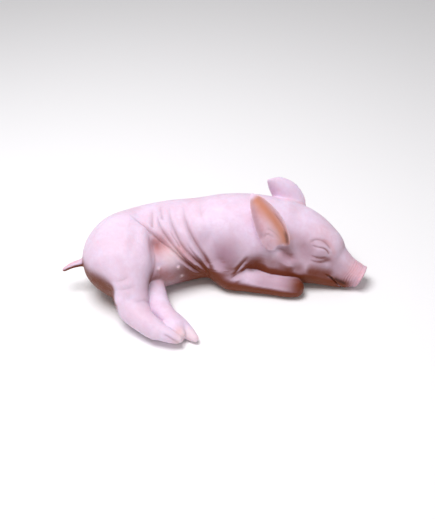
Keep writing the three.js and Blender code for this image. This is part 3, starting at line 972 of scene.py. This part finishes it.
def shading(skin):
    """Painted shade where the skin turns down to the table, brownish for shade with warm reflected light and
    mauve for softer shade; except on the hind feet and the snout.
    """
    x, y, z = skin.points.T
    left, up = skin.normals[:, 1], skin.normals[:, 2]
    everywhere = np.arange(len(x))
    rump = ramp(x, *RUMP_X)
    free = np.maximum(ramp(y, *HIND_FEET_Y), rump)
    free = free * (1 - FAR_SIDE["loss"] * ramp(left, *FAR_SIDE["facing_left"]))
    belly = np.exp(-(((x - BELLY["x"]) / BELLY["length"]) ** 2)) * ramp(left, *BELLY["facing_left"])
    head = Spine(HEAD)
    tip = head.value(head.length)[:3]
    nose = ramp(np.linalg.norm(skin.points - tip, axis=1), *NOSE["distance"])
    top = BROWN_SHADING["height"] + BROWN_SHADING["rump_rise"] * rump
    turned = ramp(up, *BROWN_SHADING["facing_up"]) * ramp(z, top, top - BROWN_SHADING["depth"]) * free
    brown_shade = BROWN_SHADING["strength"] * turned * (1 - BELLY["brown_shade_loss"] * belly) * (1 - nose)
    # Painted shade: a little brown on the head's sides as they turn from the top.
    cheek = ramp(x, *CHEEK["forward"]) * ramp(up, *CHEEK["facing_up"]) * ramp(z, *CHEEK["height"])
    cheek = cheek * (1 - nose)
    skin.tint("brown_shade", everywhere, np.maximum(brown_shade, CHEEK["strength"] * cheek))
    # Painted shade in mauve, more as the skin faces down and sits low.
    downward_shade = ramp(up, *DOWNWARD_SHADE["facing_up"]) * ramp(z, *DOWNWARD_SHADE["height"]) * free * (1 - BELLY["shade_loss"] * belly)
    skin.tint("mauve_shade", everywhere, DOWNWARD_SHADE["strength"] * downward_shade * (1 - NOSE["shade_loss"] * nose))


skin = Skin(*sculpt())
flank(skin)
underline(skin)
limbs(skin)
neck(skin)
snout(skin)
for hand in (NEAR, FAR):
    face(skin, hand)
ears(skin)
mouth(skin)
claws_and_tail(skin)
skin.finish()
shading(skin)

# ---- into Blender ----
mesh = bpy.data.meshes.new("pig_full")
cad_low, cad_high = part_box("pig")
low, high = skin.points.min(0), skin.points.max(0)
shift = (np.array(cad_low) + np.array(cad_high)) / 2 / MM - (low + high) / 2
shift[2] = -low[2]
mesh.from_pydata(((skin.points + shift) * MM).tolist(), [], skin.quads.tolist())
for name, mask in skin.masks.items():
    mesh.attributes.new(name, "FLOAT", "POINT").data.foreach_set("value", mask.astype(np.float32))
full = bpy.data.objects.new("pig_full", mesh)
bpy.context.scene.collection.objects.link(full)
triangles = 2 * len(skin.quads)
if triangles > TRIANGLE_LIMIT:
    fewer = full.modifiers.new("fewer", "DECIMATE")
    fewer.ratio = TRIANGLE_LIMIT / triangles
mesh = bpy.data.meshes.new_from_object(full.evaluated_get(bpy.context.evaluated_depsgraph_get()))
mesh.name = "pig_skin"
bpy.data.objects.remove(full)
mesh.polygons.foreach_set("use_smooth", np.ones(len(mesh.polygons), bool))
pig = bpy.data.objects.new("pig_skin", mesh)
bpy.context.scene.collection.objects.link(pig)


# ---- skin material ----
# Colours are screen values from 0 to 255; scales are in features per metre.
PALE_SKIN, ROSY_SKIN, MOTTLE = (236, 218, 238), (229, 203, 221), (212, 172, 194)
# The flush colour also paints shade in the groin and the pale one a highlight on the belly pouch; the mauve
# and amber colours are painted shade.
FLUSH_AND_SHADE, MAUVE_SHADE, AMBER_SHADE, PALE_AND_HIGHLIGHT = (224, 158, 160), (162, 121, 138), (206, 134, 98), (238, 214, 214)
# Painted shade colours: for creases, for shade with warm light reflected from below, and for the nostrils,
# the mouth's line and the ear's rim.
FOLD_SHADE, BROWN_SHADE, RECESS_SHADE = (138, 70, 62), (114, 47, 6), (66, 20, 12)
BLOTCH_SCALE, MOTTLE_SCALE, CREPE_SCALE, PORE_SCALE, GRAIN_SCALE = 14.0, 85.0, 210.0, 620.0, 900.0
MOTTLE_SHARE, MAUVE_SHADE_SHARE, FOLD_SHADE_SHARE, PALE_AND_HIGHLIGHT_SHARE = 0.22, 0.9, 0.78, 0.5
COVER_POWER = 2.3
BUMP_STRENGTH = 0.5
CREPE_HEIGHT, PORE_HEIGHT, GRAIN_HEIGHT = 0.0011, 0.00012, 0.00025


class Nodes:
    """A short hand for building one material's nodes."""

    def __init__(self, name):
        self.material = bpy.data.materials.new(name)
        self.material.use_nodes = True
        self.tree = self.material.node_tree
        self.shader = self.tree.nodes["Principled BSDF"]
        self.place = self.add("ShaderNodeTexCoord").outputs["Object"]

    def add(self, kind, inputs=None, **settings):
        node = self.tree.nodes.new(kind)
        for key, value in settings.items():
            setattr(node, key, value)
        for key, value in (inputs or {}).items():
            self.set(node.inputs[key], value)
        return node

    def set(self, socket, value):
        if isinstance(value, bpy.types.NodeSocket):
            self.tree.links.new(value, socket)
        else:
            socket.default_value = value

    def math(self, operation, a, b=0.0, clamp=False):
        return self.add("ShaderNodeMath", {0: a, 1: b}, operation=operation, use_clamp=clamp).outputs[0]

    def mix(self, share, a, b):
        node = self.add("ShaderNodeMix", data_type="RGBA", blend_type="MIX")
        self.set(node.inputs[0], share)
        self.set(node.inputs[6], a)
        self.set(node.inputs[7], b)
        return node.outputs[2]

    def noise(self, scale, detail, roughness, distortion=0.0):
        settings = {
            "Vector": self.place,
            "Scale": scale,
            "Detail": detail,
            "Roughness": roughness,
            "Distortion": distortion,
        }
        return self.add("ShaderNodeTexNoise", settings).outputs["Fac"]

    def span(self, value, low, high, to_low=0.0, to_high=1.0):
        """value stretched so that low..high becomes to_low..to_high."""
        node = self.add("ShaderNodeMapRange", {0: value, 1: low, 2: high, 3: to_low, 4: to_high})
        node.clamp = True
        return node.outputs[0]

    def bump(self, height, distance, below=None):
        inputs = {"Height": height, "Distance": distance, "Strength": BUMP_STRENGTH}
        if below is not None:
            inputs["Normal"] = below
        return self.add("ShaderNodeBump", inputs).outputs[0]

    def mask(self, name):
        return self.add("ShaderNodeAttribute", attribute_name=name).outputs["Fac"]

    def cover(self, share):
        """A share bent upwards, so that darker painted shade over pale skin looks as strong as its mask."""
        bare = self.math("SUBTRACT", 1.0, share, True)
        return self.math("SUBTRACT", 1.0, self.math("POWER", bare, COVER_POWER))


def srgb(color):
    """A screen colour made linear, with full opacity."""
    shares = [c / 255 for c in color]
    return (*[s / 12.92 if s <= 0.04045 else ((s + 0.055) / 1.055) ** 2.4 for s in shares], 1)


def skin_material():
    n = Nodes("pig_skin")
    blotches = n.span(n.noise(BLOTCH_SCALE, 4, 0.6, 0.4), 0.38, 0.64)
    mottle = n.span(n.noise(MOTTLE_SCALE, 4, 0.65, 0.6), 0.36, 0.66)
    color = n.mix(blotches, srgb(PALE_SKIN), srgb(ROSY_SKIN))
    color = n.mix(n.math("MULTIPLY", mottle, MOTTLE_SHARE), color, srgb(MOTTLE))
    # Flush, and in the groin painted shade.
    flush_and_shade = n.math("MULTIPLY", n.mask("flush_and_shade"), n.span(mottle, 0, 1, 0.65, 1.0))
    color = n.mix(flush_and_shade, color, srgb(FLUSH_AND_SHADE))
    # Painted shade in mauve.
    color = n.mix(n.math("MULTIPLY", n.mask("mauve_shade"), MAUVE_SHADE_SHARE), color, srgb(MAUVE_SHADE))
    # Painted warm shade in the ears' hollows.
    color = n.mix(n.mask("amber_shade"), color, srgb(AMBER_SHADE))
    # Painted shade in the creases.
    color = n.mix(n.cover(n.math("MULTIPLY", n.mask("fold"), FOLD_SHADE_SHARE)), color, srgb(FOLD_SHADE))
    # Painted shade with warm light reflected from below.
    brown_shade = n.math("MULTIPLY", n.mask("brown_shade"), n.span(mottle, 0, 1, 0.88, 0.97))
    color = n.mix(n.cover(brown_shade), color, srgb(BROWN_SHADE))
    # Painted shade in the nostrils, along the mouth and the near ear's rim.
    color = n.mix(n.cover(n.mask("recess_shade")), color, srgb(RECESS_SHADE))
    # Paler claws and teats, and a painted highlight on the belly pouch.
    color = n.mix(n.math("MULTIPLY", n.mask("pale_and_highlight"), PALE_AND_HIGHLIGHT_SHARE), color, srgb(PALE_AND_HIGHLIGHT))
    n.set(n.shader.inputs["Base Color"], color)
    grain = n.noise(GRAIN_SCALE, 3, 0.6)
    cells = {"Vector": n.place, "Scale": PORE_SCALE}
    pores = n.add("ShaderNodeTexVoronoi", cells, feature="DISTANCE_TO_EDGE").outputs["Distance"]
    crepe = n.noise(CREPE_SCALE, 4, 0.6, 1.0)
    rough = n.math("ADD", n.span(mottle, 0, 1, 0.36, 0.5), n.span(grain, 0.3, 0.7, -0.04, 0.05))
    n.set(n.shader.inputs["Roughness"], rough)
    bump = n.bump(crepe, CREPE_HEIGHT)
    bump = n.bump(n.span(pores, 0, 0.12), PORE_HEIGHT, bump)
    bump = n.bump(grain, GRAIN_HEIGHT, bump)
    n.set(n.shader.inputs["Normal"], bump)
    n.set(n.shader.inputs["Subsurface Weight"], 0.35)
    n.set(n.shader.inputs["Subsurface Radius"], (0.8, 0.4, 0.32))
    n.set(n.shader.inputs["Subsurface Scale"], 0.006)
    n.set(n.shader.inputs["Specular IOR Level"], 0.22)
    return n.material


mesh.materials.clear()
mesh.materials.append(skin_material())

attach(pig, "root")
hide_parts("pig")


# ---- floor, lights and camera ----
FLOOR_HALF, FLOOR_WHITE, FLOOR_ROUGHNESS = 6.0, (0.97, 0.97, 0.97, 1), 0.9
LIGHTS = dict(
    key=dict(at=(-0.4, -0.2, 1.7), size=1.0, watts=27, color=(0.98, 0.97, 1.0)),
    fill=dict(at=(0.5, -1.5, 0.7), size=1.2, watts=1.5, color=(1.0, 0.95, 0.92)),
)
LIT_POINT = (0, 0, 0.05)
WORLD_COLOR, WORLD_STRENGTH = (1.0, 0.98, 0.99, 1), 0.36
LENS, DISTANCE, ELEVATION = 50, 1.264, math.radians(40)
AIM = Vector(((shift[0] - 2) * MM, shift[1] * MM, 0.0305))


def look_at(obj, target):
    obj.rotation_euler = (Vector(target) - obj.location).to_track_quat("-Z", "Y").to_euler()


floor_mesh = bpy.data.meshes.new("floor")
corners = [(x * FLOOR_HALF, y * FLOOR_HALF, 0) for x, y in ((-1, -1), (1, -1), (1, 1), (-1, 1))]
floor_mesh.from_pydata(corners, [], [(0, 1, 2, 3)])
floor = bpy.data.objects.new("floor", floor_mesh)
bpy.context.scene.collection.objects.link(floor)
floor_mat = bpy.data.materials.new("floor")
floor_mat.use_nodes = True
floor_shader = floor_mat.node_tree.nodes["Principled BSDF"]
floor_shader.inputs["Base Color"].default_value = FLOOR_WHITE
floor_shader.inputs["Roughness"].default_value = FLOOR_ROUGHNESS
floor_mesh.materials.append(floor_mat)

for name, light in LIGHTS.items():
    data = bpy.data.lights.new(name, "AREA")
    data.shape = "DISK"
    data.size = light["size"]
    data.energy = light["watts"]
    data.color = light["color"]
    lamp = bpy.data.objects.new(name, data)
    lamp.location = light["at"]
    bpy.context.scene.collection.objects.link(lamp)
    look_at(lamp, LIT_POINT)

world = bpy.data.worlds.new("world")
world.use_nodes = True
world.node_tree.nodes["Background"].inputs["Color"].default_value = WORLD_COLOR
world.node_tree.nodes["Background"].inputs["Strength"].default_value = WORLD_STRENGTH
bpy.context.scene.world = world
bpy.context.scene.view_settings.view_transform = "Standard"

camera_data = bpy.data.cameras.new("camera")
camera_data.lens = LENS
camera = bpy.data.objects.new("camera", camera_data)
camera.location = AIM + DISTANCE * Vector((0, -math.cos(ELEVATION), math.sin(ELEVATION)))
look_at(camera, AIM)
bpy.context.scene.collection.objects.link(camera)
bpy.context.scene.camera = camera
